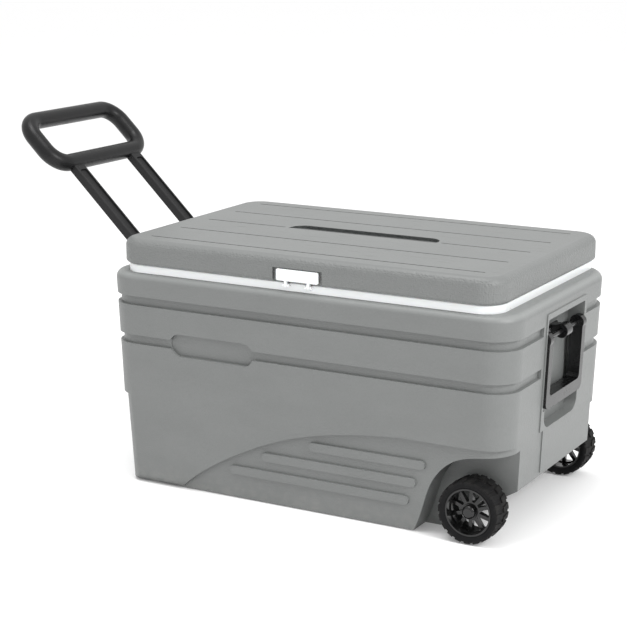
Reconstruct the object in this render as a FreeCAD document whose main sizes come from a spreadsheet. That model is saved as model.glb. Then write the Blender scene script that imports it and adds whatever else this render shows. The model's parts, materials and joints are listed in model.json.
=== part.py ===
import FreeCAD, Part
import math
import os
import re
import Sketcher
from FreeCAD import Placement, Rotation, Vector

# Wheeled picnic cooler. Origin on the floor under the middle of the lid, +Z up, +X towards the
# wheels, -Y towards the latch. Lengths are in millimetres and angles in degrees.

DIMENSIONS = {
    "nothing": 0, "skin": 3, "foot_half_x": 364, "foot_front": 214.5, "foot_rear": 210,
    "front_corner": 38, "rear_corner": 60, "wall_draft": 2.4,
    "shell_top": 378.5, "shoulder_radius": 14, "foot_radius": 18, "low_corner": 44,
    "mouth_half_x": 340, "mouth_half_y": 209, "mouth_corner": 32,
    "step_height": 160, "left_wall": 361, "right_wall": 368.5, "left_draft": 3.5,
    "bay_wall": 352, "bay_half_y": 160,
    "well_wall": 157, "arch_depth": 9, "rib_proud": 4.5, "rib_height": 15,
    "groove_depth": 6, "groove_height": 16, "upper_groove": 322, "lower_groove": 253,
    "groove_stop": 95, "panel_proud": 1.75, "panel_half_y": 86, "low_panel_half_y": 67,
    "recess_half_y": 81, "recess_floor": 350, "recess_bottom": 193, "recess_top": 347,
    "rim_half_x": 350, "rim_half_y": 219.5, "rim_corner": 37, "rim_top": 392.5,
    "tub_half_x": 321, "tub_half_y": 184, "tub_corner": 36, "tub_foot": 24, "tub_bottom": 38,
    "shelf_x": 186, "shelf_bottom": 169,
    "lid_half_x": 355.5, "lid_half_y": 226, "lid_corner": 43, "lid_bottom": 393,
    "lid_top": 436.6, "lid_roof": 4.2, "lid_edge": 14, "lid_hem": 6,
    "tray_half_x": 338, "tray_half_y": 208, "plug_half_x": 315, "plug_half_y": 178,
    "line_half_x": 312, "line_spacing": 91.4, "line_width": 3, "line_depth": 2,
    "latch_half_x": 39, "latch_notch_half_x": 46, "latch_axis_y": 224.5, "latch_axis_z": 388.5,
    "hinge_x": 205, "hinge_axis_y": 232, "hinge_axis_z": 393, "knuckle_radius": 5,
    "hinge_pin_radius": 2, "running_fit": 0.05,
    "tow_pivot_x": 372.3, "tow_pivot_z": 368.7, "tow_lean": 46.1, "tow_bar_y": 88.8,
    "tow_bar_width": 28, "tow_bar_thick": 15, "tow_tube_radius": 15.5, "tow_loop_half_y": 134.5,
    "tow_loop_near": 240.5, "tow_loop_far": 342.5, "tow_loop_corner": 36,
    "tow_pin_radius": 4, "tow_channel_half": 18.8,
    "carry_axis_x": 372, "carry_axis_z": 312, "carry_half_y": 80, "carry_arm": 14,
    "carry_depth": 22, "carry_bottom": 196, "carry_grip": 21, "carry_rod_radius": 4,
    "wheel_x": 306.9, "wheel_radius": 53.3, "wheel_inner": 173.5, "wheel_outer": 221.9,
    "axle_radius": 5, "axle_slot_half": 9, "screw_radius": 2,
}

doc = FreeCAD.newDocument("Cooler")
sheet = doc.addObject("Spreadsheet::Sheet", "Dims")
for row, (alias, number) in enumerate(DIMENSIONS.items(), start=1):
    sheet.set("A%d" % row, alias)
    sheet.set("B%d" % row, str(number))
    sheet.setAlias("B%d" % row, alias)
doc.recompute()

parts = {}


def cells(text):
    """Turn names such as skin into references to the sheet."""
    return re.sub(r"[a-z][a-z_]*", lambda found: "Dims." + found.group(), str(text))


def amount(text):
    """The number that an expression on the sheet has now."""
    return float(sheet.evalExpression(str(text)))


def keep(name, made):
    """Name a finished sub-part, which is written to a file of that name."""
    made.Label = name
    parts[name] = made
    return made


# ---- sketches --------------------------------------------------------------------------------

def new_body(name):
    body = doc.addObject("PartDesign::Body", "Body_" + name)
    body.Label = "body of " + name
    return body


def new_sketch(body, name, plane, offset="0", across="0", up="0", tilt=0.0):
    """A sketch on one of the body's own planes, moved along its normal and tilted about its X."""
    sketch = body.newObject("Sketcher::SketchObject", name)
    support = [item for item in body.Origin.OriginFeatures if item.Role == plane][0]
    sketch.AttachmentSupport = [(support, "")]
    sketch.MapMode = "FlatFace"
    base = Vector(amount(across), amount(up), amount(offset))
    sketch.AttachmentOffset = Placement(base, Rotation(Vector(1, 0, 0), tilt))
    sketch.setExpression("AttachmentOffset.Base.x", cells(across))
    sketch.setExpression("AttachmentOffset.Base.y", cells(up))
    sketch.setExpression("AttachmentOffset.Base.z", cells(offset))
    return sketch


def fix(sketch, expression, kind, *places):
    """Add a dimension that follows the sheet."""
    index = sketch.addConstraint(Sketcher.Constraint(kind, *places, amount(expression)))
    sketch.setExpression("Constraints[%d]" % index, cells(expression))


def corner_arcs(half_x, front, rear, small, large):
    """The four corner arcs of a plan, from front right round to front left."""
    corners = [(half_x - small, small - front, small, -90), (half_x - large, rear - large, large, 0),
               (large - half_x, rear - large, large, 90), (small - half_x, small - front, small, 180)]
    arcs = []
    for x, y, radius, start in corners:
        circle = Part.Circle(Vector(x, y, 0), Vector(0, 0, 1), radius)
        arcs.append(Part.ArcOfCircle(circle, math.radians(start), math.radians(start + 90)))
    return arcs


def rounded(sketch, half_x, low_y, high_y, low_radius, high_radius):
    """A rectangle with round corners, from -low_y to high_y, and half_x to each side."""
    arcs = corner_arcs(amount(half_x), amount(low_y), amount(high_y), amount(low_radius),
                       amount(high_radius))
    for index in range(4):
        sketch.addGeometry(Part.LineSegment(arcs[index - 1].EndPoint, arcs[index].StartPoint), False)
        sketch.addGeometry(arcs[index], False)
    for index in range(8):
        sketch.addConstraint(Sketcher.Constraint("Tangent", index, 2, (index + 1) % 8, 1))
    for index, kind in ((0, "Horizontal"), (2, "Vertical"), (4, "Horizontal"), (6, "Vertical")):
        sketch.addConstraint(Sketcher.Constraint(kind, index))
    sketch.addConstraint(Sketcher.Constraint("Equal", 1, 7))
    sketch.addConstraint(Sketcher.Constraint("Equal", 3, 5))
    fix(sketch, low_radius, "Radius", 1)
    fix(sketch, high_radius, "Radius", 3)
    fix(sketch, half_x, "DistanceX", -1, 1, 2, 1)
    fix(sketch, half_x, "DistanceX", 6, 1, -1, 1)
    fix(sketch, high_y, "DistanceY", -1, 1, 4, 1)
    fix(sketch, low_y, "DistanceY", 0, 1, -1, 1)
    return sketch


def even(sketch, half_x, half_y, radius):
    """A rectangle with four equal round corners about the sketch's origin."""
    return rounded(sketch, half_x, half_y, half_y, radius, radius)


def disc(sketch, radius, x=0.0, y=0.0):
    """A circle whose radius follows the sheet."""
    index = sketch.addGeometry(Part.Circle(Vector(x, y, 0), Vector(0, 0, 1), amount(radius)), False)
    fix(sketch, radius, "Radius", index)
    return sketch


def join(sketch, points):
    """Straight runs from each point to the next."""
    for start, end in zip(points, points[1:]):
        sketch.addGeometry(Part.LineSegment(Vector(*start), Vector(*end)), False)


def outline(sketch, points):
    """A closed outline of straight runs."""
    join(sketch, [(x, y, 0) for x, y in points + points[:1]])
    return sketch


def curved_outline(sketch, curve, corners):
    """One smooth curve through its points, closed by straight runs through the corners."""
    spline = Part.BSplineCurve()
    spline.interpolate([Vector(x, y, 0) for x, y in curve])
    sketch.addGeometry(spline, False)
    join(sketch, [(x, y, 0) for x, y in [curve[-1]] + corners + [curve[0]]])
    return sketch


def slot(sketch, left, right, middle, half):
    """A long hole with half-round ends."""
    for x, start in ((right - half, -90), (left + half, 90)):
        circle = Part.Circle(Vector(x, middle, 0), Vector(0, 0, 1), half)
        arc = Part.ArcOfCircle(circle, math.radians(start), math.radians(start + 180))
        sketch.addGeometry(arc, False)
    for side in (-1, 1):
        y = middle + side * half
        join(sketch, [(left + half, y, 0), (right - half, y, 0)])
    return sketch


# ---- features --------------------------------------------------------------------------------

def feature(body, kind, sketch, length=None, backwards=False):
    """A Pad or Pocket of a sketch. No length means through everything."""
    before = body.Tip.Shape.Volume if body.Tip else 0.0
    made = body.newObject("PartDesign::" + kind, kind + "_" + sketch.Name)
    made.Profile = sketch
    made.Reversed = backwards
    if length is None:
        made.Type = 1
    else:
        made.Length = amount(length)
        made.setExpression("Length", cells(length))
    doc.recompute()
    change = made.Shape.Volume - before
    if abs(change) < 0.5 or (change > 0) != (kind == "Pad"):
        raise RuntimeError("%s changes the volume by %.2f" % (made.Name, change))
    return made


def revolved(body, sketch):
    """The sketch turned once about its own vertical axis."""
    made = body.newObject("PartDesign::Revolution", "Turned_" + sketch.Name)
    made.Profile = sketch
    made.ReferenceAxis = (sketch, ["V_Axis"])
    made.Angle = 360.0
    doc.recompute()
    return made


def round_edges(body, radius, wanted):
    """Round the edges of the body's last feature that the test picks by their middle and box."""
    base = body.Tip
    names = []
    for index, edge in enumerate(base.Shape.Edges, start=1):
        if wanted(edge.CenterOfMass, edge.BoundBox):
            names.append("Edge%d" % index)
    made = body.newObject("PartDesign::Fillet", "Fillet_" + base.Name)
    made.Base = (base, names)
    made.Radius = amount(radius)
    made.setExpression("Radius", cells(radius))
    doc.recompute()
    return made


def around(body, made, count):
    """Repeat a feature about the body's Z axis."""
    pattern = body.newObject("PartDesign::PolarPattern", "Pattern_" + made.Name)
    pattern.Originals = [made]
    axis = [item for item in body.Origin.OriginFeatures if item.Role == "Z_Axis"][0]
    pattern.Axis = (axis, [""])
    pattern.Angle = 360.0
    pattern.Occurrences = count
    body.Tip = pattern
    doc.recompute()
    return pattern


def cut(name, base, tool):
    made = doc.addObject("Part::Cut", "Cut_" + name)
    made.Base = base
    made.Tool = tool
    doc.recompute()
    return made


def fuse(name, pieces):
    made = doc.addObject("Part::MultiFuse", "Fuse_" + name)
    made.Shapes = pieces
    doc.recompute()
    return made


def bind_place(made, place):
    for axis, expression in zip("xyz", place):
        made.setExpression("Placement.Base." + axis, cells(expression))


def rod(name, radius, length, place, turn=None):
    """A round bar that starts at place and runs along Z, or along Z as turned."""
    made = doc.addObject("Part::Cylinder", "Rod_" + name)
    made.setExpression("Radius", cells(radius))
    made.setExpression("Height", cells(length))
    made.Placement = Placement(Vector(), turn or Rotation())
    bind_place(made, place)
    doc.recompute()
    return made


def block(name, place, size):
    """A box with its lowest corner at place."""
    made = doc.addObject("Part::Box", "Block_" + name)
    for side, expression in zip(("Length", "Width", "Height"), size):
        made.setExpression(side, cells(expression))
    bind_place(made, place)
    doc.recompute()
    return made


def screws(name, places, turn, shank):
    """Equal screws with their heads at the places, shanks running along Z as turned."""
    pieces = []
    for index, place in enumerate(places):
        label = "%s_%d" % (name, index)
        pieces.append(rod(label + "_shank", "screw_radius", shank, place, turn))
        back = turn.multVec(Vector(0, 0, -2.2))
        head = ["%s + (%.3f)" % (place[axis], back[axis]) for axis in range(3)]
        pieces.append(rod(label + "_head", "screw_radius + 1.8", "2.2", head, turn))
    return keep(name, fuse(name, pieces))


TO_REAR = Rotation(Vector(1, 0, 0), -90)
TO_FRONT = Rotation(Vector(1, 0, 0), 90)
TO_WHEELS = Rotation(Vector(0, 1, 0), 90)


# ---- outer shell -----------------------------------------------------------------------------

DRAFT = amount("wall_draft")
SPREAD = math.tan(math.radians(DRAFT))
SIN_45 = math.sin(math.pi / 4)

# Edge of the sunk lower panel and of the wheel well, as (x, z).
ARCH = [(-262, -22), (-209, 29), (-130, 78), (-16, 127), (110, 153), (186, 160)]
WELL = [(194, -14), (222, 45), (239, 92), (277, 131), (335, 145), (430, 167)]

# Ribs of the sunk panel: left end, right end and height of the middle line.
RIBS = ((16, 228, 117), (-76, 211, 84.5), (-140, 198, 52))

# How far the cutting outlines reach outside the shell, along X and along Y.
FAR_X = 430
FAR_Y = 270


def face_plane(depth, gap, side):
    """Where a sketch lies that is depth under the front (-1) or rear (1) face."""
    if side < 0:
        return "foot_front - (%s) - %s" % (depth, gap), DRAFT
    return "(%s) + %s - foot_rear" % (depth, gap), -DRAFT


def outside_wall(sketch, wall, corner, end, sunk):
    """What lies outside a wall that rounds into the long faces, sunk by this much, at the end -1 or 1."""
    x = end * amount(wall)
    radius = amount(corner)
    inner = x - end * radius
    reach = {side: amount(foot) + amount("step_height") * SPREAD - amount(sunk)
             for side, foot in ((-1, "foot_front"), (1, "foot_rear"))}
    for side in (-1, 1):
        y = reach[side]
        middle = Vector(inner + end * radius * SIN_45, side * (y - radius + radius * SIN_45), 0)
        arc = Part.Arc(Vector(inner, side * y, 0), middle, Vector(x, side * (y - radius), 0))
        sketch.addGeometry(arc, False)
        join(sketch, [(inner, side * y, 0), (inner, side * FAR_Y, 0), (end * FAR_X, side * FAR_Y, 0)])
    join(sketch, [(x, radius - reach[-1], 0), (x, reach[1] - radius, 0)])
    join(sketch, [(end * FAR_X, -FAR_Y, 0), (end * FAR_X, FAR_Y, 0)])
    return sketch


def groove_band(sketch, height, gap):
    """The plan outside a groove's floor, which stops short of the carry handle's panel."""
    growth = amount(height) * SPREAD - amount("groove_depth + " + gap)
    half_x = amount("foot_half_x") + growth
    front = amount("foot_front") + growth
    rear = amount("foot_rear") + growth
    stop = amount("groove_stop - " + gap)
    arcs = corner_arcs(half_x, front, rear, amount("front_corner") + growth, amount("rear_corner") + growth)
    for arc in arcs:
        sketch.addGeometry(arc, False)
    for first, second in ((3, 0), (1, 2), (2, 3)):
        sketch.addGeometry(Part.LineSegment(arcs[first].EndPoint, arcs[second].StartPoint), False)
    ends = [arcs[0].EndPoint, (half_x, -stop, 0), (FAR_X, -stop, 0), (FAR_X, -FAR_Y, 0),
            (-FAR_X, -FAR_Y, 0), (-FAR_X, FAR_Y, 0), (FAR_X, FAR_Y, 0), (FAR_X, stop, 0),
            (half_x, stop, 0), arcs[1].StartPoint]
    join(sketch, [tuple(point) for point in ends])
    return sketch


def shell_walls(body, name, gap, roof):
    """The drafted walls with their round shoulder and foot."""
    plan = new_sketch(body, name + "_foot", "XY_Plane", gap)
    rounded(plan, "foot_half_x - " + gap, "foot_front - " + gap, "foot_rear - " + gap,
            "front_corner - " + gap, "rear_corner - " + gap)
    walls = feature(body, "Pad", plan, "%s - %s" % (roof, gap))
    walls.TaperAngle = DRAFT
    walls.setExpression("TaperAngle", cells("wall_draft"))
    doc.recompute()
    top = amount(roof)
    bottom = amount(gap)
    round_edges(body, "shoulder_radius - " + gap, lambda middle, box: box.ZMin > top - 0.01)
    round_edges(body, "foot_radius - " + gap, lambda middle, box: box.ZMax < bottom + 0.01)


def lower_body(body, name, gap):
    """The set-in ends under the step, the raised tail, the axle's slot, the wells and the arches."""
    inset = amount(gap)
    for end, wall, draft, sunk in ((-1, "left_wall", "left_draft", "0 - 3.5"),
                                   (1, "right_wall", "wall_draft", "arch_depth + " + gap)):
        plan = new_sketch(body, "%s_%s" % (name, wall), "XY_Plane", "step_height + " + gap)
        outside_wall(plan, "%s - %s" % (wall, gap), "low_corner - " + gap, end, sunk)
        made = feature(body, "Pocket", plan, "step_height + " + gap)
        made.TaperAngle = amount(draft)
        doc.recompute()
    bay = new_sketch(body, name + "_bay", "XZ_Plane", "bay_half_y + " + gap)
    wall = -amount("bay_wall - " + gap)
    roof = amount("step_height + " + gap)
    outline(bay, [(wall, -20), (wall, roof), (-FAR_X, roof), (-FAR_X, -20)])
    feature(body, "Pocket", bay, "2 * bay_half_y + 2 * " + gap)
    tail = new_sketch(body, name + "_tail", "XZ_Plane", str(FAR_Y))
    outline(tail, [(232, -20), (232, inset), (372, 84 + inset), (FAR_X, 84 + inset), (FAR_X, -20)])
    feature(body, "Pocket", tail)
    seat = new_sketch(body, name + "_axle_slot", "XZ_Plane", str(FAR_Y), "wheel_x")
    half = amount("axle_slot_half + " + gap)
    roof = amount("wheel_radius + axle_slot_half + " + gap)
    outline(seat, [(-half, 20), (-half, roof), (half, roof), (half, 20)])
    feature(body, "Pocket", seat)
    for side, label in ((-1, "front"), (1, "rear")):
        floor = "%d * (well_wall - %s)" % (-side, gap)
        well = new_sketch(body, "%s_well_%s" % (name, label), "XZ_Plane", floor)
        curved_outline(well, [(x - inset, z + inset) for x, z in WELL], [(FAR_X, -60), (180, -60)])
        feature(body, "Pocket", well, backwards=side < 0)
        place, lean = face_plane("arch_depth", gap, side)
        sunk = new_sketch(body, "%s_arch_%s" % (name, label), "XZ_Plane", place, tilt=lean)
        curved_outline(sunk, [(x - inset, z + inset) for x, z in ARCH],
                       [(FAR_X, 160 + inset), (FAR_X, -60), (-262 - inset, -60)])
        feature(body, "Pocket", sunk, backwards=side < 0)


def upper_body(body, name, gap):
    """The two grooves that run round the walls, and the long pocket in the front."""
    inset = amount(gap)
    for height in ("lower_groove", "upper_groove"):
        ring = new_sketch(body, "%s_%s" % (name, height), "XY_Plane", "%s - %s" % (height, gap))
        groove_band(ring, height, gap)
        feature(body, "Pocket", ring, "groove_height + 2 * " + gap, backwards=True)
    place, lean = face_plane("groove_depth + 2", gap, -1)
    hold = new_sketch(body, name + "_pocket", "XZ_Plane", place, tilt=lean)
    slot(hold, -250 - inset, -85 + inset, 261, 20 + inset)
    feature(body, "Pocket", hold, backwards=True)


def end_features(body, name, gap):
    """The carry handle's recess with its finger scoop, and the two channels for the tow bars."""
    recess = new_sketch(body, name + "_recess", "YZ_Plane", "recess_floor - " + gap, "0",
                        "(recess_top + recess_bottom) / 2")
    even(recess, "recess_half_y + " + gap, "(recess_top - recess_bottom) / 2 + " + gap, "4")
    feature(body, "Pocket", recess, backwards=True)
    scoop = new_sketch(body, name + "_scoop", "YZ_Plane", "recess_floor + 3 - " + gap, "0",
                       "recess_bottom - 6")
    even(scoop, "recess_half_y - 8 + " + gap, "26 + " + gap, "22")
    feature(body, "Pocket", scoop, backwards=True)
    for side, label in ((-1, "front"), (1, "rear")):
        for kind, floor, low in (("bar", "tow_pivot_x - 8.5", "step_height - 2"),
                                 ("hub", "tow_pivot_x - 15.3", "shell_top - 40")):
            channel = new_sketch(body, "%s_%s_channel_%s" % (name, kind, label), "YZ_Plane",
                                 "%s - (%s)" % (gap, floor), "%d * tow_bar_y" % side)
            half = amount("tow_channel_half + " + gap)
            bottom = amount("%s - %s" % (low, gap))
            outline(channel, [(-half, bottom), (half, bottom), (half, 420), (-half, 420)])
            feature(body, "Pocket", channel)


def outer_form():
    """The outside of the shell, with its raised end panels and the ribs of the sunk panels."""
    body = new_body("outer_form")
    shell_walls(body, "outer", "nothing", "shell_top")
    lower_body(body, "outer", "nothing")
    upper_body(body, "outer", "nothing")
    panel = new_sketch(body, "outer_panel", "YZ_Plane", "foot_half_x - 2", tilt=DRAFT)
    half = amount("panel_half_y")
    outline(panel, [(-half, 160), (half, 160), (half, 357), (-half, 357)])
    feature(body, "Pad", panel, "panel_proud + 2")
    low = new_sketch(body, "outer_low_panel", "YZ_Plane", "right_wall - 2 - %f" % (160 * SPREAD), tilt=DRAFT)
    half = amount("low_panel_half_y")
    outline(low, [(-half, 86), (half, 86), (half, 160), (-half, 160)])
    feature(body, "Pad", low, "panel_proud + 2")
    end_features(body, "outer", "nothing")
    for side, label in ((-1, "front"), (1, "rear")):
        place, lean = face_plane("arch_depth + 1", "nothing", side)
        ribs = new_sketch(body, "outer_ribs_" + label, "XZ_Plane", place, tilt=lean)
        for left, right, height in RIBS:
            slot(ribs, left, right, height, amount("rib_height") / 2)
        feature(body, "Pad", ribs, "rib_proud + 1", backwards=side > 0)
    return body


def core_form():
    """The space inside the shell's wall."""
    body = new_body("core_form")
    shell_walls(body, "core", "skin", "shell_top - skin")
    lower_body(body, "core", "skin")
    upper_body(body, "core", "skin")
    end_features(body, "core", "skin")
    return body


def mouth_form():
    """The opening in the shell's deck that the liner drops through."""
    body = new_body("mouth_form")
    plan = new_sketch(body, "mouth_plan", "XY_Plane", "shell_top - 10")
    even(plan, "mouth_half_x", "mouth_half_y", "mouth_corner")
    feature(body, "Pad", plan, "10")
    return body


# ---- inner liner and foam --------------------------------------------------------------------

def tub_pads(body, name, gap="nothing"):
    """The form of the tub, drawn in by gap: a deep well and a shelf over the wheels."""
    shelf = new_sketch(body, name + "_shelf", "XY_Plane", "shelf_bottom + " + gap)
    even(shelf, "tub_half_x - " + gap, "tub_half_y - " + gap, "tub_corner - " + gap)
    feature(body, "Pad", shelf, "rim_top - shelf_bottom - " + gap)
    deep = new_sketch(body, name + "_deep", "XY_Plane", "tub_bottom + " + gap,
                      "(shelf_x - tub_half_x) / 2")
    even(deep, "(shelf_x + tub_half_x) / 2 - " + gap, "tub_half_y - " + gap, "tub_corner - " + gap)
    feature(body, "Pad", deep, "rim_top - tub_bottom - " + gap)
    low = amount("tub_bottom + " + gap)
    round_edges(body, "tub_foot - " + gap, lambda middle, box: box.ZMax < low + 0.01)


def liner_form():
    body = new_body("liner_form")
    rim = new_sketch(body, "rim_plan", "XY_Plane", "shell_top")
    even(rim, "rim_half_x", "rim_half_y", "rim_corner")
    feature(body, "Pad", rim, "rim_top - shell_top")
    top = amount("rim_top")
    round_edges(body, "2.5", lambda middle, box: box.ZMin > top - 0.01)
    under = new_sketch(body, "rim_under", "XY_Plane", "shell_top")
    even(under, "rim_half_x - skin", "rim_half_y - skin", "rim_corner - skin")
    feature(body, "Pocket", under, "rim_top - shell_top - skin", backwards=True)
    tub_pads(body, "liner")
    hollow = new_body("tub_hollow")
    tub_pads(hollow, "hollow", "skin")
    return cut("tub", body, hollow)


LATCH_LUGS = ((-27, 3.1), (-18.1, 3.1), (15, 3.1), (23.9, 3.1))
FLAP_LUGS = ((-23.5, 5), (18.5, 5))


def latch_lugs(name, lugs, place, size):
    """Knuckles round the latch's axis, each with a web that joins it to its part."""
    pieces = []
    for index, (x, width) in enumerate(lugs):
        label = "%s_%d" % (name, index)
        pieces.append(block(label, (str(x),) + place, (str(width),) + size))
        pieces.append(rod(label, "3", str(width), (str(x), "0 - latch_axis_y", "latch_axis_z"), TO_WHEELS))
    return pieces


def make_liner():
    lugs = latch_lugs("rim_lug", LATCH_LUGS, ("0 - latch_axis_y", "latch_axis_z - 3"),
                      ("latch_axis_y - rim_half_y + 0.5", "6"))
    bores = [rod("rim_bore_%d" % side, "1.25", "12", ("%d - 6" % (side * 21), "0 - latch_axis_y", "latch_axis_z"),
                 TO_WHEELS) for side in (-1, 1)]
    whole = fuse("liner_lugs", [liner_form()] + lugs)
    keep("inner_liner", cut("inner_liner", whole, fuse("rim_bores", bores)))


def make_shell_and_foam():
    core = core_form()
    mouth = mouth_form()
    keep("outer_shell", cut("outer_shell", outer_form(), fuse("shell_space", [core, mouth])))
    rim_body = new_body("rim_fill")
    rim_plan = new_sketch(rim_body, "rim_fill_plan", "XY_Plane", "shell_top")
    even(rim_plan, "rim_half_x - skin", "rim_half_y - skin", "rim_corner - skin")
    feature(rim_body, "Pad", rim_plan, "rim_top - shell_top - skin")
    tub = new_body("tub_form")
    tub_pads(tub, "tub")
    keep("body_insulation", cut("body_insulation", fuse("foam_block", [core, mouth, rim_body]), tub))


# ---- lid -------------------------------------------------------------------------------------

def lid_outside():
    body = new_body("lid_outside")
    plan = new_sketch(body, "lid_plan", "XY_Plane", "lid_bottom")
    even(plan, "lid_half_x", "lid_half_y", "lid_corner")
    feature(body, "Pad", plan, "lid_top - lid_bottom")
    top = amount("lid_top")
    bottom = amount("lid_bottom")
    round_edges(body, "lid_edge", lambda middle, box: box.ZMin > top - 0.01)
    round_edges(body, "lid_hem", lambda middle, box: box.ZMax < bottom + 0.01)
    half = amount("line_width") / 2
    reach = amount("line_half_x")
    lines = new_sketch(body, "lid_lines", "XY_Plane", "lid_top - line_depth")
    for row in (-2, -1, 1, 2):
        slot(lines, -reach, reach, row * amount("line_spacing"), half)
    for left, right in ((-reach, -151), (151, reach)):
        slot(lines, left, right, 0, half)
    feature(body, "Pocket", lines, backwards=True)
    finger = new_sketch(body, "lid_finger", "XY_Plane", "lid_top", "0", "0 - 4", tilt=-9.1)
    rounded(finger, "143", "20", "35", "2", "26")
    feature(body, "Pocket", finger, backwards=True)
    notch = new_sketch(body, "lid_notch", "XZ_Plane", "lid_half_y - 6")
    half = amount("latch_notch_half_x")
    outline(notch, [(-half, 380), (half, 380), (half, 417), (-half, 417)])
    feature(body, "Pocket", notch, backwards=True)
    return body


def lid_inside():
    body = new_body("lid_inside")
    plan = new_sketch(body, "lid_core_plan", "XY_Plane", "lid_bottom + skin")
    even(plan, "lid_half_x - skin", "lid_half_y - skin", "lid_corner - skin")
    feature(body, "Pad", plan, "lid_top - lid_roof - lid_bottom - skin")
    top = amount("lid_top - lid_roof")
    round_edges(body, "lid_edge - skin", lambda middle, box: box.ZMin > top - 0.01)
    notch = new_sketch(body, "lid_core_notch", "XZ_Plane", "lid_half_y - 6 - skin")
    half = amount("latch_notch_half_x + skin")
    outline(notch, [(-half, 380), (half, 380), (half, 420), (-half, 420)])
    feature(body, "Pocket", notch, backwards=True)
    dip = new_sketch(body, "lid_core_dip", "XY_Plane", "lid_top - 9", "0", "12")
    even(dip, "148", "24", "10")
    feature(body, "Pocket", dip, backwards=True)
    return body


def make_lid():
    inside = lid_inside()
    opening = new_body("lid_opening")
    plan = new_sketch(opening, "lid_opening_plan", "XY_Plane", "lid_bottom")
    even(plan, "tray_half_x", "tray_half_y", "tub_corner - skin")
    feature(opening, "Pad", plan, "skin")
    keep("lid_shell", cut("lid_shell", lid_outside(), fuse("lid_space", [inside, opening])))
    liner = new_body("lid_liner")
    tray = new_sketch(liner, "tray_plan", "XY_Plane", "lid_bottom + 0.4")
    even(tray, "tray_half_x", "tray_half_y", "tub_corner - skin")
    feature(liner, "Pad", tray, "skin - 0.4")
    plug = new_sketch(liner, "plug_plan", "XY_Plane", "rim_top - 13")
    even(plug, "plug_half_x", "plug_half_y", "tub_corner - 2 * skin")
    feature(liner, "Pad", plug, "lid_bottom + skin - rim_top + 13")
    low = amount("rim_top - 13")
    round_edges(liner, "5", lambda middle, box: box.ZMax < low + 0.01)
    hollow = new_sketch(liner, "plug_hollow", "XY_Plane", "rim_top - 13 + skin")
    even(hollow, "plug_half_x - skin", "plug_half_y - skin", "tub_corner - 3 * skin")
    feature(liner, "Pocket", hollow, backwards=True)
    keep("lid_liner", liner)
    fill = new_body("plug_fill")
    low = new_sketch(fill, "plug_fill_plan", "XY_Plane", "rim_top - 13 + skin")
    even(low, "plug_half_x - skin", "plug_half_y - skin", "tub_corner - 3 * skin")
    feature(fill, "Pad", low, "lid_bottom - rim_top + 13")
    keep("lid_insulation", fuse("lid_insulation", [inside, fill]))


# ---- lid hinges ------------------------------------------------------------------------------

def make_hinges():
    """Two plate hinges behind the lid, each with three knuckles on one pin."""
    body_screws = []
    lid_screws = []
    for side, label in ((-1, "left"), (1, "right")):
        x = "%d * hinge_x" % side
        axis = ("hinge_axis_y", "hinge_axis_z")
        plate = block("low_plate_" + label, (x + " - 28", "rim_half_y", "shell_top + 0.5"),
                      ("56", "4", "12.9"))
        arm = block("low_arm_" + label, (x + " - 9.7", "rim_half_y + 3", "shell_top + 7.5"),
                    ("19.4", "9.5", "5.9"))
        knuckle = rod("low_knuckle_" + label, "knuckle_radius", "19.4", (x + " - 9.7",) + axis, TO_WHEELS)
        tight = rod("low_bore_" + label, "hinge_pin_radius", "70", (x + " - 35",) + axis, TO_WHEELS)
        low_leaf = fuse("low_leaf_" + label, [plate, arm, knuckle])
        keep("hinge_body_leaf_" + label, cut("low_leaf_" + label, low_leaf, tight))
        high = [block("high_plate_" + label, (x + " - 28", "lid_half_y", "402"), ("56", "3.5", "26"))]
        for index, start in enumerate((x + " - 28", x + " + 10.2")):
            name = "high_%d_%s" % (index, label)
            high.append(block(name, (start, "lid_half_y", "hinge_axis_z + 0.5"), ("17.8", "5", "9.5")))
            high.append(rod(name, "knuckle_radius", "17.8", (start,) + axis, TO_WHEELS))
        loose = rod("high_bore_" + label, "hinge_pin_radius + running_fit", "70", (x + " - 35",) + axis,
                    TO_WHEELS)
        keep("hinge_lid_leaf_" + label, cut("high_leaf_" + label, fuse("high_leaf_" + label, high), loose))
        keep("hinge_pin_" + label, rod("hinge_pin_" + label, "hinge_pin_radius", "58", (x + " - 29",) + axis,
                                       TO_WHEELS))
        for offset in (-20, 20):
            body_screws.append((x + " + (%d)" % offset, "rim_half_y + 4", "shell_top + 7"))
            lid_screws.append((x + " + (%d)" % offset, "lid_half_y + 3.5", "lid_top - 18"))
    screws("hinge_body_screws", body_screws, TO_FRONT, "12")
    screws("hinge_lid_screws", lid_screws, TO_FRONT, "12")


# ---- latch -----------------------------------------------------------------------------------

def make_latch():
    """The flap that folds up into the notch of the lid, and the two short pins it turns on."""
    body = new_body("flap_plate")
    plate = new_sketch(body, "flap_plan", "XZ_Plane", "lid_half_y - 3.5", "0", "405.6")
    even(plate, "latch_half_x", "9.9", "3")
    feature(body, "Pad", plate, "5.5")
    front = -amount("lid_half_y + 2")
    round_edges(body, "2", lambda middle, box: box.YMax < front + 0.01)
    lugs = latch_lugs("flap_lug", FLAP_LUGS, ("0 - latch_axis_y - 2.8", "latch_axis_z"), ("4.6", "13"))
    bore = rod("flap_bore", "1.25 + running_fit", "80", ("0 - 40", "0 - latch_axis_y", "latch_axis_z"),
               TO_WHEELS)
    keep("latch_flap", cut("latch_flap", fuse("flap_and_lugs", [body] + lugs), bore))
    pins = [rod("latch_pin_%d" % side, "1.25", "12", ("%d - 6" % (side * 21), "0 - latch_axis_y", "latch_axis_z"),
                TO_WHEELS) for side in (-1, 1)]
    keep("latch_pins", fuse("latch_pins", pins))


# ---- tow handle ------------------------------------------------------------------------------

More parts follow.
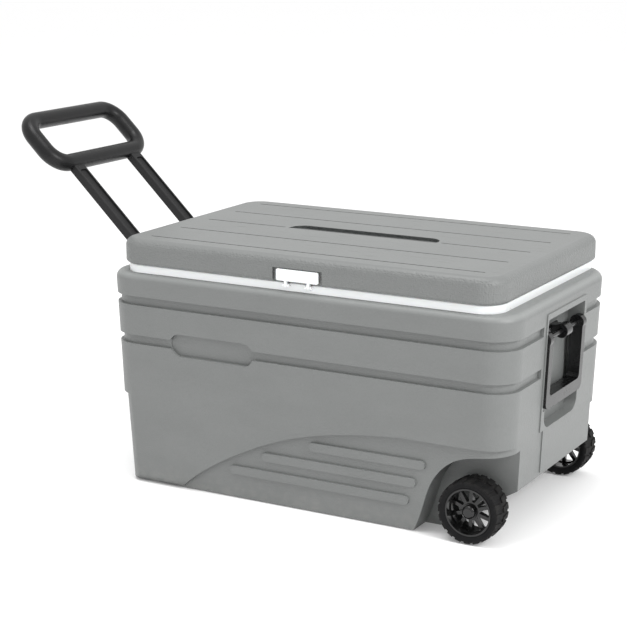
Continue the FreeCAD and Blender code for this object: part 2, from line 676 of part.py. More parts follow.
def lean_back(made):
    """Place a piece that is drawn upright about the tow pivot."""
    turn = Rotation(Vector(0, 1, 0), -amount("tow_lean"))
    made.Placement = Placement(Vector(-amount("tow_pivot_x"), 0, amount("tow_pivot_z")), turn)
    made.setExpression("Placement.Base.x", cells("0 - tow_pivot_x"))
    made.setExpression("Placement.Base.z", cells("tow_pivot_z"))


def tow_loop():
    body = new_body("tow_grip_loop")
    path = new_sketch(body, "loop_path", "YZ_Plane", "0", "0", "(tow_loop_near + tow_loop_far) / 2")
    even(path, "tow_loop_half_y", "(tow_loop_far - tow_loop_near) / 2", "tow_loop_corner")
    ring = new_sketch(body, "loop_section", "XZ_Plane", "tow_loop_half_y - tow_loop_corner", "0",
                      "tow_loop_near")
    disc(ring, "tow_tube_radius")
    pipe = body.newObject("PartDesign::AdditivePipe", "loop_tube")
    pipe.Profile = ring
    pipe.Spine = path
    doc.recompute()
    lean_back(body)
    return keep("tow_grip_loop", body)


def tow_bar(side, label, loop):
    """A flat bar with a shallow channel in each broad face and a round eye on the pivot."""
    body = new_body("bar_" + label)
    start = "0 - (%d * tow_bar_y) - tow_bar_width / 2" % side
    eye = new_sketch(body, "bar_eye_" + label, "XZ_Plane", start)
    disc(eye, "10")
    feature(body, "Pad", eye, "tow_bar_width")
    flat = new_sketch(body, "bar_flat_" + label, "XZ_Plane", start)
    half = amount("tow_bar_thick") / 2
    outline(flat, [(-half, 0), (half, 0), (half, 234), (-half, 234)])
    feature(body, "Pad", flat, "tow_bar_width")
    round_edges(body, "2", lambda middle, box: box.ZLength > 200 and abs(abs(middle.x) - half) < 0.01)
    for face in (-1, 1):
        channel = new_sketch(body, "bar_channel_%s_%d" % (label, face), "YZ_Plane",
                             "%d * (tow_bar_thick / 2 - 2.5)" % face, "%d * tow_bar_y" % side, "120")
        even(channel, "tow_bar_width / 2 - 5", "96", "4")
        feature(body, "Pocket", channel, backwards=face > 0)
    bore = new_sketch(body, "bar_bore_" + label, "XZ_Plane", start)
    disc(bore, "tow_pin_radius + running_fit")
    feature(body, "Pocket", bore, backwards=True)
    lean_back(body)
    keep("tow_bar_" + label, cut("tow_bar_" + label, body, loop))


def tow_bracket(side, label):
    """A clevis let into the top of the channel, with the pin that the bar turns on."""
    middle = "%d * tow_bar_y" % side
    low = middle + " - tow_channel_half"
    pieces = [block("tow_base_" + label, ("3.1 - tow_pivot_x + 9", low, "343"),
                    ("3.2", "2 * tow_channel_half", "34"))]
    for index, start in enumerate((low, middle + " + 14.6")):
        name = "tow_ear_%d_%s" % (index, label)
        pieces.append(block(name, ("0 - tow_pivot_x", start, "tow_pivot_z - 10"), ("15.3", "4.2", "18")))
        pieces.append(rod(name, "10", "4.2", ("0 - tow_pivot_x", start, "tow_pivot_z"), TO_REAR))
    bore = rod("tow_bracket_bore_" + label, "tow_pin_radius", "50",
               ("0 - tow_pivot_x", middle + " - 25", "tow_pivot_z"), TO_REAR)
    keep("tow_bracket_" + label, cut("tow_bracket_" + label, fuse("tow_bracket_" + label, pieces), bore))
    keep("tow_pin_" + label, rod("tow_pin_" + label, "tow_pin_radius", "37.4",
                                 ("0 - tow_pivot_x", middle + " - 18.7", "tow_pivot_z"), TO_REAR))
    return [("12.1 - tow_pivot_x", middle + " + (%d)" % offset, "349") for offset in (-8, 8)]


def make_tow_handle():
    loop = tow_loop()
    places = []
    for side, label in ((-1, "front"), (1, "rear")):
        tow_bar(side, label, loop)
        places += tow_bracket(side, label)
    screws("tow_bracket_screws", places, TO_WHEELS, "16")


# ---- carry handle ----------------------------------------------------------------------------

def make_carry_handle():
    """A drop handle on a cross rod, which a bearing holds up in the middle."""
    body = new_body("bail")
    back = "carry_axis_x - carry_depth / 2"
    frame = new_sketch(body, "bail_outside", "YZ_Plane", back, "0", "(carry_axis_z + carry_bottom) / 2")
    rounded(frame, "carry_half_y", "(carry_axis_z - carry_bottom) / 2", "(carry_axis_z - carry_bottom) / 2",
            "12", "1")
    feature(body, "Pad", frame, "carry_depth")
    gap = new_sketch(body, "bail_gap", "YZ_Plane", back, "0", "carry_bottom + carry_grip + 60")
    even(gap, "carry_half_y - carry_arm", "60", "8")
    feature(body, "Pocket", gap, backwards=True)
    for side, label in ((-1, "front"), (1, "rear")):
        start = "%d * (carry_half_y - carry_arm / 2) - carry_arm / 2" % -side
        hub = new_sketch(body, "bail_hub_" + label, "XZ_Plane", start, "carry_axis_x", "carry_axis_z")
        disc(hub, "12.5")
        feature(body, "Pad", hub, "carry_arm")
    bore = new_sketch(body, "bail_bore", "XZ_Plane", "100", "carry_axis_x", "carry_axis_z")
    disc(bore, "carry_rod_radius + running_fit")
    feature(body, "Pocket", bore)
    pivot = Vector(amount("carry_axis_x"), 0, amount("carry_axis_z"))
    body.Placement = Placement(Vector(), Rotation(Vector(0, 1, 0), DRAFT), pivot)
    keep("carry_handle_bail", body)
    keep("carry_handle_rod", rod("carry_rod", "carry_rod_radius", "2 * recess_half_y + 16",
                                 ("carry_axis_x", "0 - recess_half_y - 8", "carry_axis_z"), TO_REAR))
    barrel = rod("bearing_barrel", "12", "24", ("carry_axis_x", "0 - 6", "carry_axis_z"), TO_REAR)
    foot = block("bearing_foot", ("recess_floor", "0 - 6", "carry_axis_z - 9"),
                 ("carry_axis_x - recess_floor", "24", "18"))
    wings = block("bearing_wings", ("recess_floor", "0 - 16", "carry_axis_z - 9"), ("3", "44", "18"))
    bore = rod("bearing_bore", "carry_rod_radius", "60", ("carry_axis_x", "0 - 30", "carry_axis_z"), TO_REAR)
    keep("carry_handle_bearing", cut("bearing", fuse("bearing", [barrel, foot, wings]), bore))
    places = [("recess_floor + 3", str(y), "carry_axis_z") for y in (-11, 23)]
    screws("carry_bearing_screws", places, Rotation(Vector(0, 1, 0), -90), "14")


# ---- wheels and axle -------------------------------------------------------------------------

def turned_piece(name, points, side):
    """A piece turned about the axle, from (radius, distance along the axle) points."""
    body = new_body(name)
    profile = new_sketch(body, name + "_profile", "XZ_Plane")
    outline(profile, points)
    revolved(body, profile)
    body.Placement = Placement(Vector(), TO_FRONT if side < 0 else TO_REAR)
    bind_place(body, ("wheel_x", "0", "wheel_radius"))
    return body


def wheel_windows(body, label):
    """Ten petal-shaped windows through the web."""
    plan = new_sketch(body, "window_" + label, "XY_Plane", "wheel_inner + 15")
    inner, outer = 15.5, 34.6
    spread_in, spread_out = math.radians(7), math.radians(13)
    ends = []
    for radius, spread in ((inner, spread_in), (outer, spread_out)):
        circle = Part.Circle(Vector(), Vector(0, 0, 1), radius)
        arc = Part.ArcOfCircle(circle, -spread, spread)
        plan.addGeometry(arc, False)
        ends.append(arc)
    plan.addGeometry(Part.LineSegment(ends[0].StartPoint, ends[1].StartPoint), False)
    plan.addGeometry(Part.LineSegment(ends[0].EndPoint, ends[1].EndPoint), False)
    around(body, feature(body, "Pocket", plan, backwards=True), 10)


def make_wheel(side, label):
    inner = amount("wheel_inner")
    outer = amount("wheel_outer")
    tread = amount("wheel_radius")
    keep("tyre_" + label, turned_piece("tyre_" + label, [
        (39.5, inner + 2), (47, inner), (51.5, inner + 3), (tread, inner + 8.5), (tread, outer - 8.5),
        (51.5, outer - 3), (47, outer), (39.5, outer - 2)], side))
    wheel = turned_piece("wheel_" + label, [
        (7, inner + 0.5), (12, inner + 0.5), (12, 197), (36.6, 200), (36.6, inner + 2), (39.5, inner + 2),
        (39.5, outer - 2), (36.6, outer - 2), (36.6, 206), (13, 209), (12.5, 213), (7, 213)], side)
    wheel_windows(wheel, label)
    keep("wheel_" + label, wheel)
    keep("wheel_bush_" + label, turned_piece("wheel_bush_" + label, [
        (5.05, inner + 0.5), (7, inner + 0.5), (7, 213), (5.05, 213)], side))
    keep("hub_cap_" + label, turned_piece("hub_cap_" + label, [
        (0, 219.2), (7, 218.6), (9.2, 216.6), (9.3, 213), (11.2, 213), (11, 217), (7.5, 220.6), (0, 221.6)], side))
    keep("push_nut_" + label, turned_piece("push_nut_" + label, [
        (5, 213.4), (9, 213.4), (9, 214), (6.5, 215.4), (5, 215.4)], side))
    keep("axle_spacer_" + label, turned_piece("axle_spacer_" + label, [
        (5, amount("well_wall")), (9, amount("well_wall")), (9, inner - 0.2), (5, inner - 0.2)], side))
    low = "well_wall - 34" if side > 0 else "0 - well_wall"
    saddle = block("saddle_" + label, ("wheel_x - axle_slot_half", low, "wheel_radius - 6"),
                   ("2 * axle_slot_half", "34", "axle_slot_half + 6"))
    bore = rod("saddle_bore_" + label, "axle_radius", "2 * well_wall + 20",
               ("wheel_x", "0 - well_wall - 10", "wheel_radius"), TO_REAR)
    keep("axle_saddle_" + label, cut("saddle_" + label, saddle, bore))


def make_axle():
    keep("axle", rod("axle", "axle_radius", "432", ("wheel_x", "0 - 216", "wheel_radius"), TO_REAR))


# ---- build, test and write -------------------------------------------------------------------

def main():
    make_shell_and_foam()
    make_liner()
    make_lid()
    make_hinges()
    make_latch()
    make_tow_handle()
    make_carry_handle()
    for side, label in ((-1, "front"), (1, "rear")):
        make_wheel(side, label)
    make_axle()
    doc.recompute()
    failed = [item.Name for item in doc.Objects if {"Invalid", "Error"} & set(item.State)]
    for name, made in parts.items():
        if made.Shape.isNull() or not made.Shape.isValid():
            failed.append(name)
    if failed:
        raise RuntimeError("These objects failed: " + ", ".join(failed))
    os.makedirs("parts", exist_ok=True)
    for name, made in parts.items():
        made.Shape.exportStep("parts/%s.step" % name)
        print("%-24s %d solid(s) %9.1f cm3" % (name, len(made.Shape.Solids), made.Shape.Volume / 1000))


main()
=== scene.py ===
import json
import math

import bmesh
import bpy
from mathutils import Matrix, Vector


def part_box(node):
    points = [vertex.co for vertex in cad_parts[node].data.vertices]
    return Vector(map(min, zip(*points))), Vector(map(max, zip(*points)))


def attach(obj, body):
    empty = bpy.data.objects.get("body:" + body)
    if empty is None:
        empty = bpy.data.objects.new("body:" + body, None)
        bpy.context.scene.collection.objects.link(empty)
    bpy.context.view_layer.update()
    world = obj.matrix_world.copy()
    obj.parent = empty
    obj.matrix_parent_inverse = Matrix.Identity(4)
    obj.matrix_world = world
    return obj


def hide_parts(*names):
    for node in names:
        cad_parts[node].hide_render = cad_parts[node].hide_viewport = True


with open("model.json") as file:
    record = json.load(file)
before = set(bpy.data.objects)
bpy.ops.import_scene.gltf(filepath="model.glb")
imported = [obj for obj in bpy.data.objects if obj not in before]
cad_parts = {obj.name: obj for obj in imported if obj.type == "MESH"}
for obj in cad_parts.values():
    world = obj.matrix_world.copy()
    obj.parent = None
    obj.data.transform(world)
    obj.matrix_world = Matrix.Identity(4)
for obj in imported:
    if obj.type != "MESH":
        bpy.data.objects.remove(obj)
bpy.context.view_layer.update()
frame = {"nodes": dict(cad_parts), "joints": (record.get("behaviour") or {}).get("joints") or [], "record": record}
print("frame loaded:", len(frame["nodes"]), "nodes")

bodyOfNode = {node: body for body, nodes in frame["record"]["behaviour"]["bodies"].items() for node in nodes}
joints = {joint["name"]: Vector(joint["pos_m"]) for joint in frame["joints"]}


# shader sums written as plain expressions
class Value:
    def __init__(self, finish, socket):
        self.finish = finish
        self.socket = socket

    def __add__(self, other):
        return self.finish.math("ADD", self, other)

    def __sub__(self, other):
        return self.finish.math("SUBTRACT", self, other)

    def __mul__(self, other):
        return self.finish.math("MULTIPLY", self, other)

    def __truediv__(self, other):
        return self.finish.math("DIVIDE", self, other)

    def __pow__(self, other):
        return self.finish.math("POWER", self, other)

    def __rsub__(self, other):
        return self.finish.math("SUBTRACT", other, self)

    __radd__ = __add__
    __rmul__ = __mul__


class Finish:
    def __init__(self, name, roughness, constants=None):
        self.material = bpy.data.materials.new(name)
        self.material.use_nodes = True
        self.tree = self.material.node_tree
        self.surface = self.tree.nodes["Principled BSDF"]
        self.surface.inputs["Roughness"].default_value = roughness
        for socket, value in (constants or {}).items():
            self.surface.inputs[socket].default_value = value
        self.place = self.add("ShaderNodeTexCoord", out="Object")

    # any node: its type, its settings, then the values or links of its sockets
    def add(self, kind, settings=None, sockets=None, out=0, stops=None):
        node = self.tree.nodes.new(kind)
        for setting, value in (settings or {}).items():
            setattr(node, setting, value)
        if stops:
            ramp = node.color_ramp
            while len(ramp.elements) < len(stops):
                ramp.elements.new(0.5)
            for element, (position, level) in zip(ramp.elements, stops):
                element.position = position
                element.color = (level, level, level, 1)
        for socket, value in (sockets or {}).items():
            self.feed(node.inputs[socket], value)
        return Value(self, node.outputs[out])

    def feed(self, socket, value):
        if isinstance(value, Value):
            self.tree.links.new(value.socket, socket)
        else:
            socket.default_value = value

    def math(self, operation, first, second=0.5, clamp=False):
        return self.add("ShaderNodeMath", {"operation": operation, "use_clamp": clamp}, {0: first, 1: second})

    def ramp(self, value, *stops):
        return self.add("ShaderNodeValToRGB", None, {"Fac": value}, stops=stops)

    # a patchy field from 0 to 1, with features of about this size in metres
    def patches(self, size, detail, stretch=None):
        place = self.place
        if stretch:
            place = self.add("ShaderNodeMapping", None, {"Vector": place, "Scale": stretch})
        return self.add("ShaderNodeTexNoise", None,
                        {"Vector": place, "Scale": 1 / size, "Detail": detail, "Roughness": 0.55}, out="Fac")

    # rounded cells of about this size in metres
    def cells(self, size, jitter=1.0):
        return self.add("ShaderNodeTexVoronoi", {"feature": "SMOOTH_F1"},
                        {"Vector": self.place, "Scale": 1 / size, "Randomness": jitter}, out="Distance")

    def mix(self, amount, first, second):
        return self.add("ShaderNodeMix", {"data_type": "RGBA"}, {0: amount, 6: first, 7: second}, out=2)

    def axis(self, letter):
        return self.add("ShaderNodeSeparateXYZ", None, {"Vector": self.place}, out=letter)

    # how far a face looks along an axis, from -1 to 1
    def facing(self, letter):
        normal = self.add("ShaderNodeNewGeometry", out="Normal")
        local = self.add("ShaderNodeVectorTransform",
                         {"vector_type": "NORMAL", "convert_from": "WORLD", "convert_to": "OBJECT"},
                         {"Vector": normal})
        return self.add("ShaderNodeSeparateXYZ", None, {"Vector": local}, out=letter)

    def colour(self, value):
        self.feed(self.surface.inputs["Base Color"], value)

    def rough(self, value):
        self.feed(self.surface.inputs["Roughness"], value)

    def relief(self, height, depth, strength=1.0):
        bump = self.add("ShaderNodeBump", None, {"Height": height, "Distance": depth, "Strength": strength})
        self.feed(self.surface.inputs["Normal"], bump)


def tint(red, green, blue):
    return (red, green, blue, 1.0)


# besides the plastic's own tones and its dust, two colours here are painted light: a lighter tint for a painted
# highlight on up-facing faces, and a near-black tint for painted shade on down-facing faces and in the lid's
# pressed lines
greyPlastic = {"light": tint(0.170, 0.176, 0.173), "dark": tint(0.150, 0.156, 0.153),
               "dust": tint(0.22, 0.22, 0.21), "dustHeight": 0.05, "lit": tint(0.27, 0.28, 0.275),
               "shade": tint(0.03, 0.033, 0.032), "grain": 0.0024, "depth": 0.0006,
               "coarseGrain": 0.0032, "coarseDepth": 0.0016}

# the pressed lines in the lid's top, which get painted shade: where they start, and how far they reach
lid = {"edge": 0.0004, "lineTop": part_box("lid_shell")[1].z - 0.0004, "lineReach": 0.190, "lineSpan": 0.316}


# moulded grey plastic with a fine stipple, a little dust near the ground and faint flow marks; on the shell,
# painted shade on down-facing faces and a painted highlight on up-facing faces, and on the lid, painted shade in
# the pressed lines
def greyFinish(name, coarse):
    finish = Finish(name, 0.42, {"Specular IOR Level": 0.45, "Coat Weight": 0.06, "Coat Roughness": 0.3})
    flow = finish.patches(0.12, 3.0, stretch=(1, 1, 2.5))
    fine = finish.patches(0.004, 2.0)
    tone = finish.ramp(flow * 0.7 + fine * 0.3, (0.25, 0.0), (0.75, 1.0))
    ground = finish.math("SUBTRACT", 1.0, finish.axis("Z") / greyPlastic["dustHeight"], clamp=True)
    specks = finish.ramp(finish.patches(0.015, 6.0), (0.45, 0.0), (0.75, 0.6))
    dust = finish.math("MULTIPLY", ground, specks, clamp=True)
    base = finish.mix(tone, greyPlastic["dark"], greyPlastic["light"])
    if coarse:
        # painted shade in the lid's pressed lines: faces sunk below the lid's top, within the lines' reach and
        # span, take the near-black shade colour
        sunk = lid["lineTop"] - finish.axis("Z")
        inside = finish.math("GREATER_THAN", sunk, 0.0)
        reach = finish.math("LESS_THAN", finish.math("ABSOLUTE", finish.axis("Y")), lid["lineReach"])
        span = finish.math("LESS_THAN", finish.math("ABSOLUTE", finish.axis("X")), lid["lineSpan"])
        base = finish.mix(inside * reach * span, base, greyPlastic["shade"])
    else:
        # painted shade on down-facing faces and a painted highlight on up-facing faces, chosen by which way each
        # face points
        upward = finish.facing("Z") * 0.5 + 0.5
        paintedUnderShade = finish.ramp(upward, (0.10, 0.75), (0.40, 0.0))
        paintedTopHighlight = finish.ramp(upward, (0.62, 0.0), (0.85, 0.6))
        base = finish.mix(paintedUnderShade, base, greyPlastic["shade"])
        base = finish.mix(paintedTopHighlight, base, greyPlastic["lit"])
    finish.colour(finish.mix(dust, base, greyPlastic["dust"]))
    scuffs = finish.ramp(finish.patches(0.006, 8.0, stretch=(0.15, 0.6, 1.0)), (0.60, 0.0), (0.72, 1.0))
    finish.rough(0.40 + fine * 0.10 + scuffs * 0.10 + dust * 0.15)
    if coarse:
        sides = finish.ramp(finish.facing("Z"), (0.55, 1.0), (0.92, 0.20))
        pebbles = finish.cells(greyPlastic["coarseGrain"], 0.55)
        finish.relief((pebbles + fine * 0.3) * sides, greyPlastic["coarseDepth"], 1.0)
    else:
        stipple = finish.cells(greyPlastic["grain"])
        finish.relief(stipple + fine * 0.4, greyPlastic["depth"], 0.6)
    return finish.material


# smooth white moulding, slightly waxy, with faint handling marks
def whiteFinish(name, tone, warm):
    finish = Finish(name, 0.3, {"Specular IOR Level": 0.5, "Subsurface Weight": 0.05})
    cloud = finish.patches(0.07, 3.0)
    marks = finish.ramp(finish.patches(0.008, 9.0, stretch=(0.2, 0.8, 1.0)), (0.60, 0.0), (0.70, 1.0))
    dull = tone - 0.03
    finish.colour(finish.mix(cloud, tint(tone, tone, tone + 0.01), tint(dull, dull, dull - warm)))
    finish.rough(0.24 + cloud * 0.12 + marks * 0.12)
    finish.relief(finish.cells(0.0016) * 0.5 + cloud, 0.00012, 0.5)
    return finish.material


# dense black plastic: a fine spark-eroded skin whose gloss breaks up a little
def blackFinish(name, roughness, shine, depth, shade):
    finish = Finish(name, roughness, {"Specular IOR Level": shine})
    cloud = finish.patches(0.03, 4.0)
    specks = finish.patches(0.0011, 2.0)
    rub = finish.ramp(finish.patches(0.012, 8.0, stretch=(0.4, 1.0, 1.0)), (0.55, 0.0), (0.75, 1.0))
    base = finish.mix(cloud, tint(shade, shade, shade * 1.05), tint(shade * 1.7, shade * 1.7, shade * 1.75))
    finish.colour(finish.mix(rub * 0.15, base, tint(0.035, 0.035, 0.037)))
    finish.rough(roughness - 0.05 + cloud * 0.12 + rub * 0.12)
    finish.relief(specks + cloud * 0.5, depth, 0.6)
    return finish.material


# tyre rubber: matt, with pale dust on its tread; the hub is as high as the tyre's radius
def rubberFinish(name, hub):
    finish = Finish(name, 0.75, {"Specular IOR Level": 0.10})
    pores = finish.patches(0.0016, 3.0)
    cloud = finish.patches(0.02, 5.0)
    across = finish.axis("X") - hub.x
    upward = finish.axis("Z") - hub.z
    radius = (across * across + upward * upward) ** 0.5
    worn = finish.ramp(radius / hub.z, (0.86, 0.0), (0.97, 1.0))
    dust = finish.math("MULTIPLY", finish.ramp(cloud, (0.40, 0.15), (0.70, 1.0)), worn * 0.25, clamp=True)
    base = finish.mix(cloud, tint(0.006, 0.006, 0.0065), tint(0.012, 0.012, 0.0125))
    finish.colour(finish.mix(dust, base, tint(0.06, 0.057, 0.052)))
    finish.rough(0.58 + pores * 0.15 + dust * 0.3)
    finish.relief(pores + cloud * 0.4, 0.0003, 0.7)
    return finish.material


# zinc plated steel with a fine drawn grain
def steelFinish(name):
    finish = Finish(name, 0.35, {"Metallic": 1.0})
    drawn = finish.patches(0.0012, 4.0, stretch=(1.0, 0.05, 1.0))
    bloom = finish.patches(0.009, 5.0)
    finish.colour(finish.mix(bloom, tint(0.56, 0.57, 0.59), tint(0.42, 0.42, 0.43)))
    finish.rough(0.26 + drawn * 0.16 + bloom * 0.12)
    finish.relief(drawn, 0.00008, 0.5)
    return finish.material


# pale foam skin
def foamFinish(name):
    finish = Finish(name, 0.8)
    beads = finish.cells(0.004)
    finish.colour(finish.mix(beads, tint(0.82, 0.74, 0.50), tint(0.70, 0.61, 0.38)))
    finish.rough(0.7 + beads * 0.2)
    finish.relief(beads, 0.0006, 0.8)
    return finish.material


finishes = {
    "shellGrey": greyFinish("shellGrey", False),
    "lidGrey": greyFinish("lidGrey", True),
    "rimWhite": whiteFinish("rimWhite", 0.80, 0.0),
    "tubWhite": whiteFinish("tubWhite", 0.78, 0.01),
    "gripBlack": blackFinish("gripBlack", 0.34, 0.26, 0.00018, 0.006),
    "barBlack": blackFinish("barBlack", 0.46, 0.26, 0.0005, 0.008),
    "handleBlack": blackFinish("handleBlack", 0.24, 0.5, 0.00008, 0.004),
    "wheelBlack": blackFinish("wheelBlack", 0.16, 0.5, 0.00005, 0.003),
    "tyreRubber": rubberFinish("tyreRubber", joints["wheel_front_spin"]),
    "zincSteel": steelFinish("zincSteel"),
    "paleNylon": whiteFinish("paleNylon", 0.66, 0.03),
    "paleFoam": foamFinish("paleFoam"),
}
print("finishes made:", len(finishes))


# angles in degrees: flat faces that join, edges that are rounded, edges that stay sharp in shading
angles = {"flat": 0.25, "rounded": 32, "sharp": 35}


# a closed copy of a CAD node, its flat faces made whole again
def welded(node):
    shape = bmesh.new()
    shape.from_mesh(frame["nodes"][node].data)
    bmesh.ops.remove_doubles(shape, verts=shape.verts, dist=0.00001)
    bmesh.ops.dissolve_limit(shape, angle_limit=math.radians(angles["flat"]), verts=shape.verts,
                             edges=shape.edges)
    bmesh.ops.recalc_face_normals(shape, faces=shape.faces)
    return shape


def roundEdges(shape, edges, width, segments):
    bmesh.ops.bevel(shape, geom=edges, offset=width, offset_type="OFFSET", affect="EDGES", segments=segments,
                    profile=0.5, material=-1, clamp_overlap=True)


# rounds the hard edges, all of them or those whose middle passes a test
def soften(shape, width, segments, where=None):
    hard = []
    for edge in shape.edges:
        middle = (edge.verts[0].co + edge.verts[1].co) / 2
        folded = edge.is_manifold and edge.calc_face_angle(0) > math.radians(angles["rounded"])
        if folded and (not where or where(middle)):
            hard.append(edge)
    if hard:
        roundEdges(shape, hard, width, segments)


def camel(node):
    first, *rest = node.split("_")
    return first + "".join(word.capitalize() for word in rest)


# the finished piece that stands in for a CAD node
def addPiece(node, shape, finish):
    name = camel(node)
    mesh = bpy.data.meshes.new(name)
    shape.to_mesh(mesh)
    shape.free()
    mesh.materials.append(finishes[finish])
    mesh.shade_smooth()
    mesh.set_sharp_from_angle(angle=math.radians(angles["sharp"]))
    piece = bpy.data.objects.new(name, mesh)
    bpy.context.scene.collection.objects.link(piece)
    weighted = piece.modifiers.new("evenShading", "WEIGHTED_NORMAL")
    weighted.keep_sharp = True
    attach(piece, bodyOfNode[node])
    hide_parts(node)


def refined(node, finish, width, segments):
    shape = welded(node)
    if width:
        soften(shape, width, segments)
    addPiece(node, shape, finish)


# node: finish, width of its rounded edges in metres, segments
smallPieces = {
    "lid_liner": ("tubWhite", 0.0015, 3),
    "latch_flap": ("rimWhite", 0.0009, 3),
    "tow_grip_loop": ("gripBlack", 0, 0),
    "tow_bar_front": ("barBlack", 0.0016, 3),
    "tow_bar_rear": ("barBlack", 0.0016, 3),
    "tow_bracket_front": ("barBlack", 0.0008, 2),
    "tow_bracket_rear": ("barBlack", 0.0008, 2),
    "carry_handle_bail": ("handleBlack", 0.0015, 3),
    "carry_handle_bearing": ("handleBlack", 0.0008, 2),
    "hinge_body_leaf_left": ("shellGrey", 0.0006, 2),
    "hinge_body_leaf_right": ("shellGrey", 0.0006, 2),
    "hinge_lid_leaf_left": ("shellGrey", 0.0006, 2),
    "hinge_lid_leaf_right": ("shellGrey", 0.0006, 2),
    "wheel_front": ("wheelBlack", 0.0005, 2),
    "wheel_rear": ("wheelBlack", 0.0005, 2),
    "hub_cap_front": ("wheelBlack", 0.0006, 2),
    "hub_cap_rear": ("wheelBlack", 0.0006, 2),
    "axle": ("zincSteel", 0.0006, 2),
    "axle_saddle_front": ("barBlack", 0.0006, 2),
    "axle_saddle_rear": ("barBlack", 0.0006, 2),
    "carry_handle_rod": ("handleBlack", 0.0004, 2),
    "tow_pin_front": ("zincSteel", 0.0004, 2),
    "tow_pin_rear": ("zincSteel", 0.0004, 2),
    "hinge_pin_left": ("zincSteel", 0.0003, 2),
    "hinge_pin_right": ("zincSteel", 0.0003, 2),
    "latch_pins": ("zincSteel", 0.0002, 2),
    "axle_spacer_front": ("paleNylon", 0.0004, 2),
    "axle_spacer_rear": ("paleNylon", 0.0004, 2),
}
for node, (finish, width, segments) in smallPieces.items():
    refined(node, finish, width, segments)
print("small pieces made:", len(smallPieces))

# nodes that are mostly hidden keep their own meshes
plainNodes = {
    "body_insulation": "paleFoam",
    "lid_insulation": "paleFoam",
    "wheel_bush_front": "paleNylon",
    "wheel_bush_rear": "paleNylon",
    "hinge_body_screws": "zincSteel",
    "hinge_lid_screws": "zincSteel",
    "tow_bracket_screws": "zincSteel",
    "carry_bearing_screws": "zincSteel",
    "push_nut_front": "zincSteel",
    "push_nut_rear": "zincSteel",
}
for node, finish in plainNodes.items():
    mesh = frame["nodes"][node].data
    mesh.materials.clear()
    mesh.materials.append(finishes[finish])

# widths of the rounded edges, and where the long walls hold their bands and their ribs
shell = {"rib": 0.0030, "band": 0.0026, "edge": 0.0012, "bandFoot": 0.15, "bandTop": 0.345, "bandSide": 0.19,
         "ribFoot": 0.012, "ribTop": 0.105, "ribSide": 0.203, "ribLeft": -0.17, "ribRight": 0.24}


def amongRibs(point):
    level = shell["ribFoot"] < point.z < shell["ribTop"]
    return level and abs(point.y) > shell["ribSide"] and shell["ribLeft"] < point.x < shell["ribRight"]


def amongBands(point):
    return shell["bandFoot"] < point.z < shell["bandTop"] and abs(point.y) > shell["bandSide"]


def elsewhere(point):
    return not amongRibs(point) and not amongBands(point)


def makeShell():
    shape = welded("outer_shell")
    soften(shape, shell["rib"], 4, amongRibs)
    soften(shape, shell["band"], 4, amongBands)
    soften(shape, shell["edge"], 2, elsewhere)
    addPiece("outer_shell", shape, "shellGrey")


makeShell()
print("shell made")

liner = {"rimEdge": 0.0020}
refined("inner_liner", "tubWhite", liner["rimEdge"], 3)
refined("lid_shell", "lidGrey", lid["edge"], 2)
print("liner and lid made")

tyre = {"lugs": 20, "radius": 0.0532, "groove": 0.0030, "bead": 0.0392, "wall": 0.0445, "steps": 96,
        "lugGap": 0.32, "lugHeight": 0.0075, "lugReach": 0.90, "lugLean": 0.0022, "lugEdge": 0.0007,
        "innerWidth": 0.80, "topWidth": 0.94, "shoulderDrop": 0.0016, "crown": 0.0004}


# one lug as a wedge on top of the tyre: wide and dropped at the shoulder, narrow and leaning inside
def shapeLug(block, half, row):
    pitch = math.tau / tyre["lugs"]
    width = 2 * tyre["radius"] * math.sin(pitch * (1 - tyre["lugGap"]) / 2)
    for vertex in block:
        outer = vertex.co.y * row > 0
        top = vertex.co.z > 0
        narrow = 1.0 if outer else tyre["innerWidth"]
        lean = 0.0 if outer else tyre["lugLean"]
        vertex.co.x = vertex.co.x * width * narrow * (tyre["topWidth"] if top else 1.0) + lean
        vertex.co.z = tyre["radius"] - (tyre["crown"] if top else tyre["lugHeight"])
        if outer and top:
            vertex.co.z -= tyre["shoulderDrop"]
        vertex.co.y = row * half * (0.997 if outer else 1 - tyre["lugReach"])


# a carcass turned round the axle, with chunky lugs in two staggered rows
def makeTyre(node, centre):
    low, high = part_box(node)
    half = (high.y - low.y) / 2
    floor = tyre["radius"] - tyre["groove"]
    shape = bmesh.new()
    profile = [(tyre["bead"], -half * 0.80), (tyre["bead"] + 0.0012, -half * 0.90),
               (tyre["wall"], -half * 0.975), (floor - 0.0022, -half * 0.985), (floor - 0.0006, -half * 0.93),
               (floor, -half * 0.82)]
    profile = profile + [(radius, -across) for radius, across in reversed(profile)]
    points = [shape.verts.new((centre.x, centre.y + across, centre.z + radius)) for radius, across in profile]
    edges = [shape.edges.new(pair) for pair in zip(points, points[1:] + points[:1])]
    bmesh.ops.spin(shape, geom=points + edges, cent=centre, axis=(0, 1, 0), angle=math.tau,
                   steps=tyre["steps"], use_merge=True)
    bmesh.ops.recalc_face_normals(shape, faces=shape.faces)
    for row in (-1, 1):
        for index in range(tyre["lugs"]):
            block = bmesh.ops.create_cube(shape, size=1)["verts"]
            shapeLug(block, half, row)
            angle = math.tau / tyre["lugs"] * (index + (0.5 if row > 0 else 0.0))
            bmesh.ops.rotate(shape, verts=block, cent=(0, 0, 0), matrix=Matrix.Rotation(angle, 3, "Y"))
            bmesh.ops.translate(shape, verts=block, vec=centre)
            blockEdges = list({edge for vertex in block for edge in vertex.link_edges})
            roundEdges(shape, blockEdges, tyre["lugEdge"], 2)
    addPiece(node, shape, "tyreRubber")


for side in ("front", "rear"):
    makeTyre("tyre_" + side, joints["wheel_%s_spin" % side])
print("tyres made")

studio = {"floorSize": 80.0, "floorDrop": 0.0002, "worldLight": 0.95, "floorTone": 0.94, "floorGlow": 0.10}


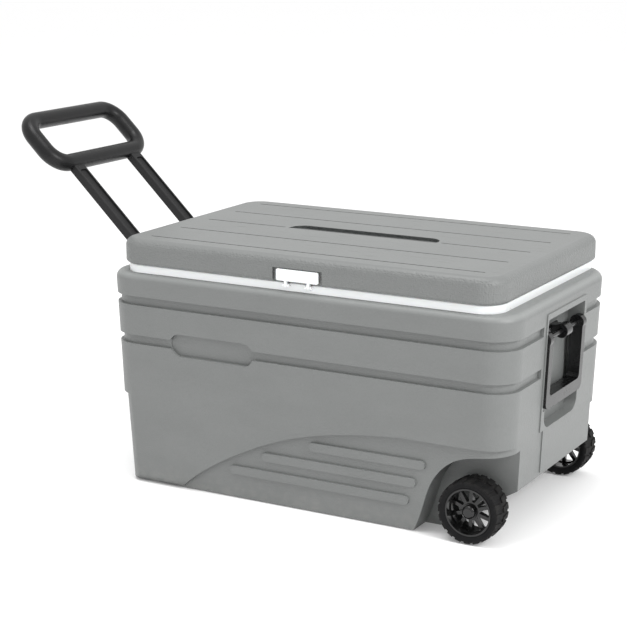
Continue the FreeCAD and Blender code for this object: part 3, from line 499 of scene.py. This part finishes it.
def makeFloor():
    shape = bmesh.new()
    bmesh.ops.create_grid(shape, x_segments=1, y_segments=1, size=studio["floorSize"] / 2)
    bmesh.ops.translate(shape, verts=shape.verts, vec=(0, 0, -studio["floorDrop"]))
    mesh = bpy.data.meshes.new("studioFloor")
    shape.to_mesh(mesh)
    shape.free()
    tone = studio["floorTone"]
    constants = {"Base Color": tint(tone, tone, tone), "Specular IOR Level": 0.1,
                 "Emission Color": tint(1, 1, 1), "Emission Strength": studio["floorGlow"]}
    finish = Finish("floorPaper", 0.9, constants)
    mesh.materials.append(finish.material)
    floor = bpy.data.objects.new("studioFloor", mesh)
    bpy.context.scene.collection.objects.link(floor)


def addLamp(name, place, aim, size, power):
    lamp = bpy.data.lights.new(name, "AREA")
    lamp.shape = "RECTANGLE"
    lamp.size, lamp.size_y = size
    lamp.energy = power
    holder = bpy.data.objects.new(name, lamp)
    holder.location = place
    holder.rotation_euler = (Vector(aim) - Vector(place)).to_track_quat("-Z", "Y").to_euler()
    bpy.context.scene.collection.objects.link(holder)


makeFloor()
# place, what it is aimed at, the two sides in metres, and power in watts
lamps = {
    "keyLamp": ((3.0, -0.9, 2.2), (0, 0, 0.2), (1.2, 1.2), 68),
    "topLamp": ((-0.3, -0.5, 3.0), (0, 0, 0.3), (1.4, 1.2), 40),
    "fillLamp": ((-2.8, -2.2, 1.5), (0, 0, 0.2), (1.4, 1.4), 2),
}
for name, settings in lamps.items():
    addLamp(name, *settings)

world = bpy.data.worlds.new("studioAir")
world.use_nodes = True
air = world.node_tree.nodes["Background"]
air.inputs["Color"].default_value = tint(1, 1, 1)
air.inputs["Strength"].default_value = studio["worldLight"]
bpy.context.scene.world = world
bpy.context.scene.view_settings.view_transform = "Standard"

# metres, degrees and millimetres of lens
viewpoint = {"place": (1.3757, -2.6419, 1.0057), "tilt": 76.615, "turn": 29.10, "lens": 100.9, "sensor": 36.0,
             "farthest": 200.0}


def addCamera():
    camera = bpy.data.cameras.new("camera")
    camera.lens = viewpoint["lens"]
    camera.sensor_width = viewpoint["sensor"]
    camera.clip_end = viewpoint["farthest"]
    holder = bpy.data.objects.new("camera", camera)
    holder.location = viewpoint["place"]
    holder.rotation_euler = (math.radians(viewpoint["tilt"]), 0, math.radians(viewpoint["turn"]))
    bpy.context.scene.collection.objects.link(holder)
    bpy.context.scene.camera = holder


addCamera()
print("studio ready")
